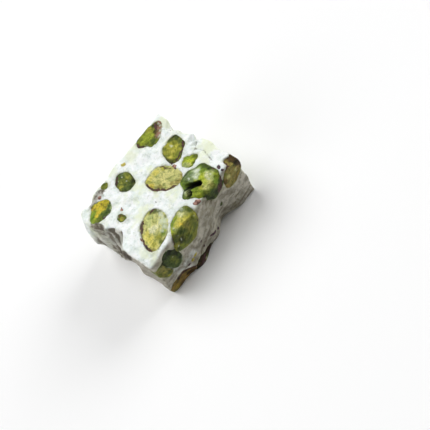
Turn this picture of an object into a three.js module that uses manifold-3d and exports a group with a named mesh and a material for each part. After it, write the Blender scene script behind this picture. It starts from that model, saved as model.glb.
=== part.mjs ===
// A hand-cut chunk of white pistachio nougat, lying on one of its two broad faces.
// Millimetres, +Z up. The origin is the middle of the underside. +X runs along the
// longer sides, and the front side faces -Y. One solid is the white nougat, and each
// pistachio kernel is a solid of its own, sunk in a pocket of the nougat.
import * as THREE from 'three';
import { mergeVertices } from 'three/addons/utils/BufferGeometryUtils.js';
import Module from 'manifold-3d';

const wasm = await Module();
wasm.setup();

// ---- driving dimensions -------------------------------------------------------

const LENGTH = 48; // along X
const WIDTH = 38; // along Y
const HEIGHT = 24; // along Z, between the two broad cut faces
const CELL = 2.5; // size of the facets of the nougat
const EDGE_SOFTNESS = 0.35; // how far the cut edges are pulled in
const RIPPLE = 0.22; // unevenness of the sides
const TOP_RIPPLE = 0.25; // unevenness of the broad upper face
const POCKET_GAP = 0.3; // air between a kernel and its pocket
const PROUD = 0.5; // how far a whole kernel may stand out of the faces

// The left side is torn: a hollow runs down it, deepest at the upper edge.
const HOLLOW = { y: 0, top: 4.7, foot: 0.9, towardsBack: 12.5, towardsFront: 7 };
// A lump stands out of the left side under its back corner.
const LUMP = { y: 14.5, z: 14, proud: 2.2, spreadY: 5, spreadZ: 9 };
// The right side dips beside the back corner, and is nicked where the flap begins.
const DIP = { y: 10.8, depth: 3.6, spread: 4.5 };
const NICK = { y: 0, depth: 3.2, spread: 2.4 };
// The flap: the front part of the right edge lies lower, beyond a crack.
const FLAP = { drop: 0.9, crackX: 20, slope: 1.4, startY: -1, bulge: 0.5 };
// The front side waves: it is hollow at the foot on the right, full on the left.
const FRONT_HOLLOW = { x: 9.4, depth: 3, spread: 9 };
const FRONT_SWELL = { x: -9.5, depth: 1.7, spread: 9 };
// The upper face droops to its front left corner.
const DROOP = { depth: 1.1, spreadX: 13, spreadY: 11 };

// A pistachio kernel: a pointed oval, a little flatter than wide.
const KERNEL_SIDES = 10;
const KERNEL_RINGS = 7;
const KERNEL_THICKNESS = 0.8; // of its width
const KERNEL_POINT = 0.68; // 0.5 is an ellipsoid, more is more pointed
const KERNEL_UNEVENNESS = 0.06;

const NOUGAT_COLOUR = 0xf0f4ea;
const KERNEL_COLOURS = [0x9fa355, 0x7d8a3c, 0xb9b070, 0x58643a];

// ---- faces, as pairs of directions that span them ------------------------------

const FACES = {
  top: { across: [1, 0, 0], up: [0, 1, 0], out: [0, 0, 1] },
  under: { across: [1, 0, 0], up: [0, 1, 0], out: [0, 0, -1] },
  front: { across: [1, 0, 0], up: [0, 0, 1], out: [0, -1, 0] },
  back: { across: [1, 0, 0], up: [0, 0, 1], out: [0, 1, 0] },
  right: { across: [0, 1, 0], up: [0, 0, 1], out: [1, 0, 0] },
};

// ---- kernels: middle, heading in the face's plane, length, width ----------------
// The knife cut each kernel flush with the face, apart from the whole ones: their own
// rounded side shows, a little proud of the face.

const KERNELS = [
  // the broad upper face
  { name: 'pistachio_top_corner', face: 'top', at: [14.9, 16.2, 23], heading: 3, length: 14.4, width: 7.8 },
  { name: 'pistachio_top_right', face: 'top', at: [15.2, 4, 23.2], heading: 35, length: 12.8, width: 8.5 },
  { name: 'pistachio_top_sliver', face: 'top', at: [14.5, -4.3, 23.2], heading: -12, length: 7, width: 4 },
  { name: 'pistachio_top_middle', face: 'top', at: [3.9, -0.8, 23.2], heading: -52, length: 14.6, width: 10.2 },
  { name: 'pistachio_top_round', face: 'top', at: [-3.9, 12, 22.3], heading: 69, length: 11, width: 9, whole: true },
  { name: 'pistachio_top_split', face: 'top', at: [10, -13.2, 21], length: 15.8, width: 13.8, whole: true,
    along: [-0.88, 0.37, 0.1], out: [0, -0.5, 0.87] },
  { name: 'pistachio_top_front', face: 'top', at: [-12.6, -10.7, 23.2], heading: 37, length: 16.4, width: 10.2 },
  { name: 'pistachio_edge_front', face: 'front', at: [-6.2, -18.2, 20.4], length: 15.8, width: 10.6, whole: true,
    along: [0.84, 0.39, 0.39], out: [0, -0.7, 0.7] },
  { name: 'pistachio_top_left', face: 'top', at: [-18, 11.6, 23], heading: 11, length: 10.8, width: 7.9 },
  { name: 'pistachio_top_chip', face: 'top', at: [-15.3, 2.8, 23.3], heading: -73, length: 4.4, width: 3.2 },
  { name: 'pistachio_edge_back', face: 'back', at: [-9.5, 17.4, 20.4], heading: 6, length: 11, width: 7.5 },
  // the front side
  { name: 'pistachio_front_corner', face: 'front', at: [20, -17.6, 19.2], length: 12.6, width: 8.2,
    along: [0.61, 0.1, 0.78], out: [0, -1, 0.2] },
  { name: 'pistachio_front_upper', face: 'front', at: [-16.4, -17, 16.2], heading: 97, length: 14, width: 6.6 },
  { name: 'pistachio_front_left', face: 'front', at: [-20.7, -17.2, 15.8], heading: 97, length: 13, width: 5.6 },
  { name: 'pistachio_front_foot', face: 'front', at: [-18, -17.6, 2.2], heading: -6, length: 13.6, width: 7 },
  { name: 'pistachio_front_rim', face: 'front', at: [-7, -18.6, 0.9], heading: 4, length: 10.4, width: 4.8 },
  // the back side
  { name: 'pistachio_back_left', face: 'back', at: [-17.2, 18, 9], heading: 65, length: 13.5, width: 8.6 },
  { name: 'pistachio_back_foot', face: 'back', at: [-3.4, 18.2, 6.2], heading: 10, length: 14, width: 9 },
  { name: 'pistachio_back_middle', face: 'back', at: [6.4, 18.3, 15], heading: -40, length: 12, width: 7.8 },
  { name: 'pistachio_back_right', face: 'back', at: [18, 17.6, 8.4], heading: 80, length: 12.5, width: 8.4 },
  // the right side
  { name: 'pistachio_right_back', face: 'right', at: [22.6, 9.6, 8.4], heading: -24, length: 13.4, width: 8.8 },
  { name: 'pistachio_right_middle', face: 'right', at: [22.3, -1.2, 14.6], heading: 48, length: 12.2, width: 8 },
  { name: 'pistachio_right_front', face: 'right', at: [23, -11, 6.8], heading: 14, length: 14, width: 8.8 },
  // the broad underside
  { name: 'pistachio_under_back', face: 'under', at: [-13.6, 9.6, 0.9], heading: 30, length: 14.4, width: 9.4 },
  { name: 'pistachio_under_edge', face: 'under', at: [-0.6, 10.2, 0.8], heading: -18, length: 11.6, width: 7.8 },
  { name: 'pistachio_under_right', face: 'under', at: [13.2, 8.4, 0.9], heading: 74, length: 13.4, width: 8.8 },
  { name: 'pistachio_under_left', face: 'under', at: [-12.4, -5.4, 0.9], heading: -58, length: 13, width: 8.6 },
  { name: 'pistachio_under_front', face: 'under', at: [3.4, -10.6, 0.9], heading: 14, length: 14.4, width: 9.2 },
  { name: 'pistachio_under_corner', face: 'under', at: [15.6, -6.4, 0.9], heading: -36, length: 12.2, width: 8.2 },
];

// The split kernel stands open: a dark cleft between its two halves.
const CLEFT = { at: [7.1, -12.6, 24.6], along: [0.95, -0.3, 0], length: 6.4, width: 2.6, depth: 6 };

// ---- the nougat's outline --------------------------------------------------------

// A smooth hill: 1 at the middle, 0 beyond the spread.
function hill(value, middle, spread) {
  const distance = Math.min(Math.abs(value - middle) / spread, 1);
  return 0.5 * (1 + Math.cos(Math.PI * distance));
}

// A smooth step from 0 to 1 over the given run.
function ramp(value, start, run) {
  return THREE.MathUtils.smoothstep(value, start, start + run);
}

function ripple(a, b, phase) {
  return Math.sin(0.55 * a + 0.31 * b + phase) + 0.6 * Math.sin(0.27 * a - 0.7 * b + 2.1 * phase);
}

function leftSide(y, z) {
  const rise = z / HEIGHT;
  const spread = y > HOLLOW.y ? HOLLOW.towardsBack : HOLLOW.towardsFront;
  const depth = HOLLOW.foot + (HOLLOW.top - HOLLOW.foot) * rise ** 1.3;
  let x = -LENGTH / 2 - 0.2;
  x += depth * hill(y, HOLLOW.y, spread);
  x -= LUMP.proud * hill(y, LUMP.y, LUMP.spreadY) * hill(z, LUMP.z, LUMP.spreadZ);
  x -= 0.8 * hill(y, -11, 6) * rise;
  x += 2 * hill(y, WIDTH / 2, 4) * rise;
  return x + RIPPLE * ripple(y, z, 0.7);
}

function rightSide(y, z) {
  const rise = z / HEIGHT;
  let x = LENGTH / 2;
  x -= DIP.depth * hill(y, DIP.y, DIP.spread) * rise;
  x -= 1.6 * hill(y, 5.5, 4) * rise;
  x -= NICK.depth * hill(y, NICK.y, NICK.spread) * ramp(z, 12, 8);
  x += FLAP.bulge * hill(y, -6, 6) * rise;
  return x + RIPPLE * ripple(z, y, 1.9);
}

function frontSide(x, z) {
  const sink = 1 - z / HEIGHT;
  let y = -WIDTH / 2 + 0.3;
  y += FRONT_HOLLOW.depth * hill(x, FRONT_HOLLOW.x, FRONT_HOLLOW.spread) * sink;
  y -= FRONT_SWELL.depth * hill(x, FRONT_SWELL.x, FRONT_SWELL.spread) * sink;
  return y + RIPPLE * ripple(x, z, 3.3);
}

function backSide(x, z) {
  const rise = z / HEIGHT;
  let y = WIDTH / 2 + 0.2;
  y -= 1.4 * hill(x, -19, 3.5) * rise;
  y += 0.9 * hill(x, -1.5, 6) * rise;
  return y + RIPPLE * ripple(z, x, 5.1);
}

function topSide(x, y) {
  let z = HEIGHT;
  z -= FLAP.drop * ramp(x, FLAP.crackX - FLAP.slope, FLAP.slope) * ramp(-y, -FLAP.startY, 1);
  z -= DROOP.depth * hill(x, -LENGTH / 2, DROOP.spreadX) * hill(y, -WIDTH / 2, DROOP.spreadY);
  return z + TOP_RIPPLE * 0.6 * ripple(x, y, 4.2);
}

// Takes a point of the plain block to its place in the uneven chunk.
function place(x, y, z) {
  const along = x / LENGTH + 0.5;
  const across = y / WIDTH + 0.5;
  return [
    THREE.MathUtils.lerp(leftSide(y, z), rightSide(y, z), along),
    THREE.MathUtils.lerp(frontSide(x, z), backSide(x, z), across),
    (z / HEIGHT) * topSide(x, y),
  ];
}

// ---- solids -----------------------------------------------------------------------

// Merges a geometry's shared corners, so that it is one closed surface.
function closed(geometry) {
  geometry.deleteAttribute('normal');
  geometry.deleteAttribute('uv');
  return mergeVertices(geometry);
}

function moveCorners(geometry, rule) {
  const position = geometry.attributes.position;
  for (let i = 0; i < position.count; i += 1) {
    position.setXYZ(i, ...rule(position.getX(i), position.getY(i), position.getZ(i)));
  }
  return geometry;
}

function toSolid(geometry) {
  const mesh = new wasm.Mesh({
    numProp: 3,
    vertProperties: new Float32Array(geometry.attributes.position.array),
    triVerts: new Uint32Array(geometry.index.array),
  });
  return new wasm.Manifold(mesh);
}

function toGeometry(solid) {
  const mesh = solid.getMesh();
  const geometry = new THREE.BufferGeometry();
  geometry.setAttribute('position', new THREE.BufferAttribute(mesh.vertProperties, 3));
  geometry.setIndex(new THREE.BufferAttribute(mesh.triVerts, 1));
  return geometry;
}

// A cut can leave a loose scrap beside the real piece: only the largest body is kept.
function largest(solid) {
  const bodies = solid.decompose();
  bodies.sort((a, b) => b.volume() - a.volume());
  return bodies[0];
}

// The uneven chunk without its pockets, grown by the given margin on every side.
function chunkSolid(margin) {
  const counts = [LENGTH, WIDTH, HEIGHT].map((size) => Math.round(size / CELL));
  const block = closed(new THREE.BoxGeometry(...counts, ...counts));
  const half = counts.map((count) => count / 2);
  const grow = [LENGTH, WIDTH, HEIGHT].map((size) => 1 + (2 * margin) / size);
  moveCorners(block, (...corner) => {
    const onFace = corner.map((value, i) => Math.abs(value) === half[i]);
    const onEdge = onFace.filter(Boolean).length > 1;
    const [x, y, z] = corner.map((value, i) => {
      const soft = onEdge && onFace[i] ? EDGE_SOFTNESS * Math.sign(value) : 0;
      return value * [LENGTH, WIDTH, HEIGHT][i] / counts[i] - soft;
    });
    const point = place(x, y, z + HEIGHT / 2);
    const height = (point[2] - HEIGHT / 2) * grow[2] + HEIGHT / 2;
    return [point[0] * grow[0], point[1] * grow[1], height];
  });
  return toSolid(block);
}

// One kernel, grown by the given margin on every side.
function kernelSolid(kernel, number, margin) {
  const face = FACES[kernel.face];
  const turn = THREE.MathUtils.degToRad(kernel.heading ?? 0);
  const across = new THREE.Vector3(...face.across).multiplyScalar(Math.cos(turn));
  const up = new THREE.Vector3(...face.up).multiplyScalar(Math.sin(turn));
  const along = kernel.along ? new THREE.Vector3(...kernel.along).normalize() : across.add(up);
  const out = new THREE.Vector3(...(kernel.out ?? face.out)).normalize();
  const side = new THREE.Vector3().crossVectors(along, out).normalize();
  out.crossVectors(side, along);

  const halfLength = kernel.length / 2 + margin;
  const halfWidth = kernel.width / 2 + margin;
  const halfDepth = (kernel.width / 2) * (kernel.depthShare ?? KERNEL_THICKNESS) + margin;
  const seed = number * 1.7;
  const oval = closed(new THREE.SphereGeometry(1, KERNEL_SIDES, KERNEL_RINGS));
  moveCorners(oval, (x, y, z) => {
    const taper = Math.max(1 - y * y, 0) ** (KERNEL_POINT - 0.5);
    const uneven = 1 + KERNEL_UNEVENNESS * Math.sin(3 * x + 2.2 * y + 1.4 * z + seed);
    const point = new THREE.Vector3(...kernel.at);
    point.addScaledVector(along, y * halfLength);
    point.addScaledVector(side, x * halfWidth * taper * uneven);
    point.addScaledVector(out, z * halfDepth * taper * uneven);
    return point.toArray();
  });
  return toSolid(oval);
}

function cleftSolid() {
  const { at, along, length, width, depth } = CLEFT;
  return kernelSolid({ face: 'top', at, along, length, width, depthShare: depth / width }, 0, 0);
}

// ---- assembly -----------------------------------------------------------------------

function meshOf(name, solid, colour) {
  const material = new THREE.MeshStandardMaterial({ color: colour, roughness: 0.6, metalness: 0 });
  const mesh = new THREE.Mesh(toGeometry(solid), material);
  mesh.name = name;
  return mesh;
}

const bar = new THREE.Group();
const chunk = chunkSolid(0);
const proudChunk = chunkSolid(PROUD);
let nougat = chunk;
const taken = [];

KERNELS.forEach((kernel, i) => {
  let body = kernelSolid(kernel, i, 0);
  const pocket = kernelSolid(kernel, i, POCKET_GAP);
  body = body.intersect(kernel.whole ? proudChunk : chunk);
  taken.forEach((earlier) => {
    body = body.subtract(earlier);
  });
  if (kernel.name === 'pistachio_top_split') body = body.subtract(cleftSolid());
  nougat = nougat.subtract(pocket);
  taken.push(pocket);
  bar.add(meshOf(kernel.name, largest(body), KERNEL_COLOURS[i % KERNEL_COLOURS.length]));
});
bar.add(meshOf('nougat', largest(nougat), NOUGAT_COLOUR));

// The torn side makes the chunk lopsided, so it is moved until its middle is the origin.
const middle = new THREE.Box3().setFromObject(bar).getCenter(new THREE.Vector3());
bar.position.set(-middle.x, -middle.y, 0);

export default bar;
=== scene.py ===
"""A hand-cut chunk of white pistachio nougat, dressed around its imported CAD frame.

Places are written in the part's own layout, in millimetres: the chunk lies on its underside, +X runs
along its longer sides and the front side faces -Y. Everything is moved to the row frame by CENTRING.
"""
import math

import bpy
import numpy as np
from mathutils import Matrix


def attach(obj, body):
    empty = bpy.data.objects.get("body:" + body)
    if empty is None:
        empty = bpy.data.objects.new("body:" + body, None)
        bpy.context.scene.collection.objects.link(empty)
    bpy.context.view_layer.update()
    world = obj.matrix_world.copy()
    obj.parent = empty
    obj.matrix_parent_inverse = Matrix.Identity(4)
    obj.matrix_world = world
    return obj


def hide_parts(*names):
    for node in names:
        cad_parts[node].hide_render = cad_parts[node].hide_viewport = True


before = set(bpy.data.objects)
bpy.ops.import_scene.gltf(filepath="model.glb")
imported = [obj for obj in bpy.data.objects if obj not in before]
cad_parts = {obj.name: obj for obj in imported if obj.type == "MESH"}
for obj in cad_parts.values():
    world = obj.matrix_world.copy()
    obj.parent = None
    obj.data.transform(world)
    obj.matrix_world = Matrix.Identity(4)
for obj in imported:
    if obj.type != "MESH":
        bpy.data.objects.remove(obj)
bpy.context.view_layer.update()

MM = 0.001
CENTRING = np.array([0.8475, 0.1724, 0.0])  # puts the middle of the chunk's box on the origin

# ---- the chunk, as in the CAD part ---------------------------------------------------

LENGTH, WIDTH, HEIGHT = 48.0, 38.0, 24.0
HALF = np.array([LENGTH, WIDTH, HEIGHT]) / 2
RIPPLE = 0.22
TOP_RIPPLE = 0.25
HOLLOW = dict(y=0, top=4.7, foot=0.9, towards_back=12.5, towards_front=7)
LUMP = dict(y=14.5, z=14, proud=2.2, spread_y=5, spread_z=9)
DIP = dict(y=10.8, depth=3.6, spread=4.5)
NICK = dict(y=0, depth=3.2, spread=2.4)
FLAP = dict(drop=0.9, crack_x=20, slope=1.4, start_y=-1, bulge=0.5)
FRONT_HOLLOW = dict(x=9.4, depth=3, spread=9)
FRONT_SWELL = dict(x=-9.5, depth=1.7, spread=9)
DROOP = dict(depth=1.1, spread_x=13, spread_y=11)

KERNEL_THICKNESS = 0.8
KERNEL_POINT = 0.68
KERNEL_UNEVENNESS = 0.06
KERNEL_BUMPINESS = 0.045  # the visual model's own, on top
SWELL_STEP = 30  # degrees between the values of a kernel's swell, from its face's first axis to its second
NEIGHBOUR_GAP = 0.12  # mm of air between two kernels that meet
ROUNDED_RIM = 0.1  # mm that the edge of a cut face is worn down
CUT_GRAIN = 0.15  # mm of roughness on a cut face
WHOLE_GRAIN = 0.24  # mm of roughness on a whole kernel
COAT = 0.35  # mm of nougat over a kernel's upper end
FAR = 12.0  # mm from a kernel's middle, further than any of its surface
LONGEST_KERNEL = 18.0
FLUSH = 0.04  # how far a cut kernel stands out of the nougat's face
PROUD = 0.45  # how far a whole one does

# ---- how finely the visual model is cut ----------------------------------------------

NOUGAT_CELL = 0.29
AROUND = 96
ON_CUT = 34
BELOW = 22

# each face: the axis that it faces, its sign, and the two axes along it
SIDES = {
    "top": (2, 1, 0, 1),
    "under": (2, -1, 0, 1),
    "front": (1, -1, 0, 2),
    "back": (1, 1, 0, 2),
    "left": (0, -1, 1, 2),
    "right": (0, 1, 1, 2),
}

KERNELS = {
    "pistachio_top_corner": dict(
        face="top", at=(14.9, 16.2, 23), heading=3, size=(14.4, 7.8),
        swell=(0.5, -0.4, -0.5, -0.5, -0.3, 0.3, -0.3, -0.5, 0.6, 0.9, 0.9, 0.5)),
    "pistachio_top_right": dict(
        face="top", at=(15.2, 4, 23.2), heading=35, size=(12.8, 8.5),
        swell=(0, -0.2, -0.6, -0.8, 0.3, 0.3, -0.4, -0.3, 0.3, 0.3, 0.2, 0.7)),
    "pistachio_top_sliver": dict(
        face="top", at=(14.5, -4.3, 23.2), heading=-12, size=(7, 4),
        swell=(0.1, -0.4, 0.1, 0.5, 0.1, 0.2, 0.7, 1, 1, 0.4, 0.1, 0.9)),
    "pistachio_top_middle": dict(
        face="top", at=(3.9, -0.8, 23.2), heading=-52, size=(14.6, 10.2),
        swell=(0.7, 0.4, 0.3, 0, -0.5, 0.2, 0.1, -0.8, -0.1, 0.1, 0.6, 0.6)),
    "pistachio_top_round": dict(
        face="top", at=(-3.9, 12, 22.3), heading=69, size=(11, 9), whole=True,
        swell=(-0.2, -0.3, -0.6, -0.3, -0.5, -0.3, -0.3, 0.4, 0.7, 0.1, -0.2, -0.4)),
    "pistachio_top_split": dict(
        face="top", at=(10, -13.2, 21), size=(15.8, 13.8), whole=True,
        along=(-0.88, 0.37, 0.1), out=(0, -0.5, 0.87),
        swell=(0, 1.1, 0.1, 0.3, 0.9, -0.8, 2.2, 0.4, -1, 0.9, 0.1, 0.7),
        thick=1.0, proud=0.9, blend=2.6),
    "pistachio_top_front": dict(
        face="top", at=(-12.6, -10.7, 23.2), heading=37, size=(16.4, 10.2),
        swell=(0.2, 0, 0.8, 0.1, 0.1, -0.5, -0.3, 0.5, 0.3, 0.2, -0.1, 0.1)),
    "pistachio_edge_front": dict(
        face="front", at=(-6.2, -18.2, 20.4), size=(15.8, 10.6), whole=True,
        along=(0.84, 0.39, 0.39), out=(0, -0.7, 0.7),
        swell=(0, 0.3, 0, 0, 0, 0, 0, 0.9, 1.3, 1.2, 0.9, 0.4),
        thick=1.0, proud=0.7, blend=2.4),
    "pistachio_top_left": dict(
        face="top", at=(-18, 11.6, 23), heading=11, size=(10.8, 7.9),
        swell=(0.8, 0.1, 0.5, 1.2, 0.1, 0.2, 0.6, -0.4, -0.5, -0.5, 0.1, 0.4)),
    "pistachio_top_chip": dict(
        face="top", at=(-15.3, 2.8, 23.3), heading=-73, size=(4.4, 3.2),
        swell=(0, 0, 0.2, 0.3, 0.2, 0.5, 0.4, 0.4, 0.4, 0.4, 0.6, 0.3)),
    "pistachio_edge_back": dict(
        face="back", at=(-9.5, 17.4, 20.4), heading=6, size=(11, 7.5),
        swell=(-0.9, -0.6, -0.3, 0.1, -0.1, -0.4, -0.6, -0.5, -0.5, -0.5, -0.6, -0.9)),
    "pistachio_front_corner": dict(
        face="front", at=(20, -17.6, 19.2), size=(12.6, 8.2),
        swell=(0.5, 0.5, 0.3, 0.3, 0.6, 0.9, 0.8, 0.8, 0.3, 0.3, 0.4, 0.5),
        along=(0.61, 0.1, 0.78), out=(0, -1, 0.2), coated=True),
    "pistachio_front_upper": dict(
        face="front", at=(-16.4, -17, 16.2), heading=97, size=(14, 6.6),
        swell=(1.2, 0.8, 0.2, 0.4, 0.9, 1.1, 1, 0.9, 1, 1.8, 1.8, 1.5)),
    "pistachio_front_left": dict(
        face="front", at=(-20.7, -17.2, 15.8), heading=97, size=(13, 5.6),
        swell=(0.8, 0.6, 0.3, 0.3, 0.6, 1, 1, 1, 1, 1.5, 1.2, 1)),
    "pistachio_front_foot": dict(
        face="front", at=(-18, -17.6, 2.2), heading=-6, size=(13.6, 7),
        swell=(1.8, 1, 0.4, -0.2, -0.3, 1, 1.6, 1, 0.5, 0.5, 0.5, 1.2)),
    "pistachio_front_rim": dict(
        face="front", at=(-7, -18.6, 0.9), heading=4, size=(10.4, 4.8),
        swell=(0.2, -0.2, -0.4, 0.4, 1.2, 1.8, 2.2, 1.6, 1, 0.6, 0.2, 0)),
    "pistachio_back_left": dict(face="back", at=(-17.2, 18, 9), heading=65, size=(13.5, 8.6)),
    "pistachio_back_foot": dict(face="back", at=(-3.4, 18.2, 6.2), heading=10, size=(14, 9)),
    "pistachio_back_middle": dict(face="back", at=(6.4, 18.3, 15), heading=-40, size=(12, 7.8)),
    "pistachio_back_right": dict(face="back", at=(18, 17.6, 8.4), heading=80, size=(12.5, 8.4)),
    "pistachio_right_back": dict(face="right", at=(22.6, 9.6, 8.4), heading=-24, size=(13.4, 8.8)),
    "pistachio_right_middle": dict(face="right", at=(22.3, -1.2, 14.6), heading=48, size=(12.2, 8)),
    "pistachio_right_front": dict(face="right", at=(23, -11, 6.8), heading=14, size=(14, 8.8)),
    "pistachio_under_back": dict(face="under", at=(-13.6, 9.6, 0.9), heading=30, size=(14.4, 9.4)),
    "pistachio_under_edge": dict(face="under", at=(-0.6, 10.2, 0.8), heading=-18, size=(11.6, 7.8)),
    "pistachio_under_right": dict(face="under", at=(13.2, 8.4, 0.9), heading=74, size=(13.4, 8.8)),
    "pistachio_under_left": dict(face="under", at=(-12.4, -5.4, 0.9), heading=-58, size=(13, 8.6)),
    "pistachio_under_front": dict(face="under", at=(3.4, -10.6, 0.9), heading=14, size=(14.4, 9.2)),
    "pistachio_under_corner": dict(face="under", at=(15.6, -6.4, 0.9), heading=-36, size=(12.2, 8.2)),
}

# ---- smooth random lumps -------------------------------------------------------------

NOISE_CELLS = 32
noise_table = np.random.default_rng(11).random((NOISE_CELLS, NOISE_CELLS, NOISE_CELLS))


def lumps(points, size, seed=0.0):
    """Smooth random lumps from -1 to 1. The size is their width in mm, or one width for each axis."""
    spot = points / np.asarray(size, float) + seed * 7.31
    cell = np.floor(spot).astype(int)
    t = spot - cell
    t = t * t * (3 - 2 * t)
    total = np.zeros(points.shape[:-1])
    for dx in (0, 1):
        for dy in (0, 1):
            for dz in (0, 1):
                corner = (cell + (dx, dy, dz)) % NOISE_CELLS
                weight = (
                    np.where(dx, t[..., 0], 1 - t[..., 0])
                    * np.where(dy, t[..., 1], 1 - t[..., 1])
                    * np.where(dz, t[..., 2], 1 - t[..., 2])
                )
                total += weight * noise_table[corner[..., 0], corner[..., 1], corner[..., 2]]
    return 2 * total - 1


def rough(points, size, seed=0.0):
    """Lumps with two finer layers on them."""
    return (
        lumps(points, size, seed)
        + 0.5 * lumps(points, np.asarray(size) * 0.47, seed + 1.3)
        + 0.25 * lumps(points, np.asarray(size) * 0.21, seed + 2.9)
    ) / 1.4


# ---- the chunk's outline -------------------------------------------------------------


def hill(value, middle, spread):
    distance = np.minimum(np.abs(value - middle) / spread, 1)
    return 0.5 * (1 + np.cos(np.pi * distance))


def ramp(value, start, run):
    t = np.clip((value - start) / run, 0, 1)
    return t * t * (3 - 2 * t)


def ripple(a, b, phase):
    return np.sin(0.55 * a + 0.31 * b + phase) + 0.6 * np.sin(0.27 * a - 0.7 * b + 2.1 * phase)


def left_side(y, z):
    rise = np.maximum(z / HEIGHT, 0)
    spread = np.where(y > HOLLOW["y"], HOLLOW["towards_back"], HOLLOW["towards_front"])
    depth = HOLLOW["foot"] + (HOLLOW["top"] - HOLLOW["foot"]) * rise ** 1.3
    x = -LENGTH / 2 - 0.2 + depth * hill(y, HOLLOW["y"], spread)
    x = x - LUMP["proud"] * hill(y, LUMP["y"], LUMP["spread_y"]) * hill(z, LUMP["z"], LUMP["spread_z"])
    x = x - 0.8 * hill(y, -11, 6) * rise
    x = x + 2 * hill(y, WIDTH / 2, 4) * rise
    return x + RIPPLE * ripple(y, z, 0.7)


def right_side(y, z):
    rise = np.maximum(z / HEIGHT, 0)
    x = LENGTH / 2 - DIP["depth"] * hill(y, DIP["y"], DIP["spread"]) * rise
    x = x - 1.6 * hill(y, 5.5, 4) * rise
    x = x - NICK["depth"] * hill(y, NICK["y"], NICK["spread"]) * ramp(z, 12, 8)
    x = x + FLAP["bulge"] * hill(y, -6, 6) * rise
    return x + RIPPLE * ripple(z, y, 1.9)


def front_side(x, z):
    sink = 1 - z / HEIGHT
    y = -WIDTH / 2 + 0.3 + FRONT_HOLLOW["depth"] * hill(x, FRONT_HOLLOW["x"], FRONT_HOLLOW["spread"]) * sink
    y = y - FRONT_SWELL["depth"] * hill(x, FRONT_SWELL["x"], FRONT_SWELL["spread"]) * sink
    return y + RIPPLE * ripple(x, z, 3.3)


def back_side(x, z):
    rise = np.maximum(z / HEIGHT, 0)
    y = WIDTH / 2 + 0.2 - 1.4 * hill(x, -19, 3.5) * rise
    y = y + 0.9 * hill(x, -1.5, 6) * rise
    return y + RIPPLE * ripple(z, x, 5.1)


def top_side(x, y):
    beyond_crack = ramp(x, FLAP["crack_x"] - FLAP["slope"], FLAP["slope"])
    z = HEIGHT - FLAP["drop"] * beyond_crack * ramp(-y, -FLAP["start_y"], 1)
    near_corner = hill(x, -LENGTH / 2, DROOP["spread_x"]) * hill(y, -WIDTH / 2, DROOP["spread_y"])
    return z - DROOP["depth"] * near_corner + TOP_RIPPLE * 0.6 * ripple(x, y, 4.2)


def place(plain):
    """Takes points of the plain block to their places in the uneven chunk."""
    x, y, z = plain[..., 0], plain[..., 1], plain[..., 2]
    along = x / LENGTH + 0.5
    across = y / WIDTH + 0.5
    left, right = left_side(y, z), right_side(y, z)
    front, back = front_side(x, z), back_side(x, z)
    return np.stack(
        [left + (right - left) * along, front + (back - front) * across, z / HEIGHT * top_side(x, y)],
        axis=-1,
    )


def level(face, a, b):
    """Where the chunk's face lies, along the axis that it faces, at places a and b along its two others."""
    axis, sign, first, second = SIDES[face]
    plain = np.zeros(np.shape(a) + (3,))
    plain[..., 2] = HALF[2]
    plain[..., axis] = sign * HALF[axis] + (HALF[2] if axis == 2 else 0)
    plain[..., first] = a
    plain[..., second] = b
    for _ in range(2):
        real = place(plain)
        plain[..., first] += a - real[..., first]
        plain[..., second] += b - real[..., second]
    return place(plain)[..., axis]


# ---- meshes --------------------------------------------------------------------------


def unit(vector):
    vector = np.asarray(vector, float)
    return vector / np.linalg.norm(vector, axis=-1, keepdims=True)


def make_piece(name, points, faces, masks, material):
    """A smooth mesh piece from layout points, with its masks as attributes for the material."""
    mesh = bpy.data.meshes.new(name)
    mesh.from_pydata(((points + CENTRING) * MM).tolist(), [], faces)
    mesh.polygons.foreach_set("use_smooth", np.ones(len(mesh.polygons), bool))
    for key, values in masks.items():
        values = np.asarray(values, np.float32)
        if values.ndim == 2 and values.shape[1] == 4:
            layer = mesh.attributes.new(key, "FLOAT_COLOR", "POINT")
            layer.data.foreach_set("color", values.ravel())
        elif values.ndim == 2:
            layer = mesh.attributes.new(key, "FLOAT_VECTOR", "POINT")
            layer.data.foreach_set("vector", values.ravel())
        else:
            layer = mesh.attributes.new(key, "FLOAT", "POINT")
            layer.data.foreach_set("value", values)
    mesh.materials.append(material)
    mesh.update()
    piece = bpy.data.objects.new(name, mesh)
    bpy.context.scene.collection.objects.link(piece)
    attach(piece, "root")
    return piece


def box_grid(counts):
    """The corners and quads of a block's surface, cut into cells, with shared corners."""
    quads = []
    for axis in range(3):
        u, v = (axis + 1) % 3, (axis + 2) % 3
        i, j = np.meshgrid(np.arange(counts[u]), np.arange(counts[v]), indexing="ij")
        for side in (0, counts[axis]):
            steps = [(0, 0), (1, 0), (1, 1), (0, 1)]
            if side == 0:
                steps.reverse()
            quad = np.empty((i.size, 4, 3), int)
            for n, (du, dv) in enumerate(steps):
                quad[:, n, axis] = side
                quad[:, n, u] = (i + du).ravel()
                quad[:, n, v] = (j + dv).ravel()
            quads.append(quad)
    flat = np.concatenate(quads).reshape(-1, 3)
    corners, index = np.unique(flat, axis=0, return_inverse=True)
    return corners, index.reshape(-1, 4)


# ---- kernels -------------------------------------------------------------------------


def kernel_axes(kernel):
    """The kernel's own directions: to its side, along it, and out of the face."""
    axis, sign, first, second = SIDES[kernel["face"]]
    turn = math.radians(kernel.get("heading", 0))
    across, up, out = np.zeros(3), np.zeros(3), np.zeros(3)
    across[first] = math.cos(turn)
    up[second] = math.sin(turn)
    out[axis] = sign
    along = unit(kernel.get("along", across + up))
    out = unit(kernel.get("out", out))
    side = unit(np.cross(along, out))
    return np.array([side, along, np.cross(side, along)])


def kernel_halves(kernel):
    length, width = kernel["size"]
    return np.array([width / 2, length / 2, width / 2 * kernel.get("thick", KERNEL_THICKNESS)])


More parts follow.
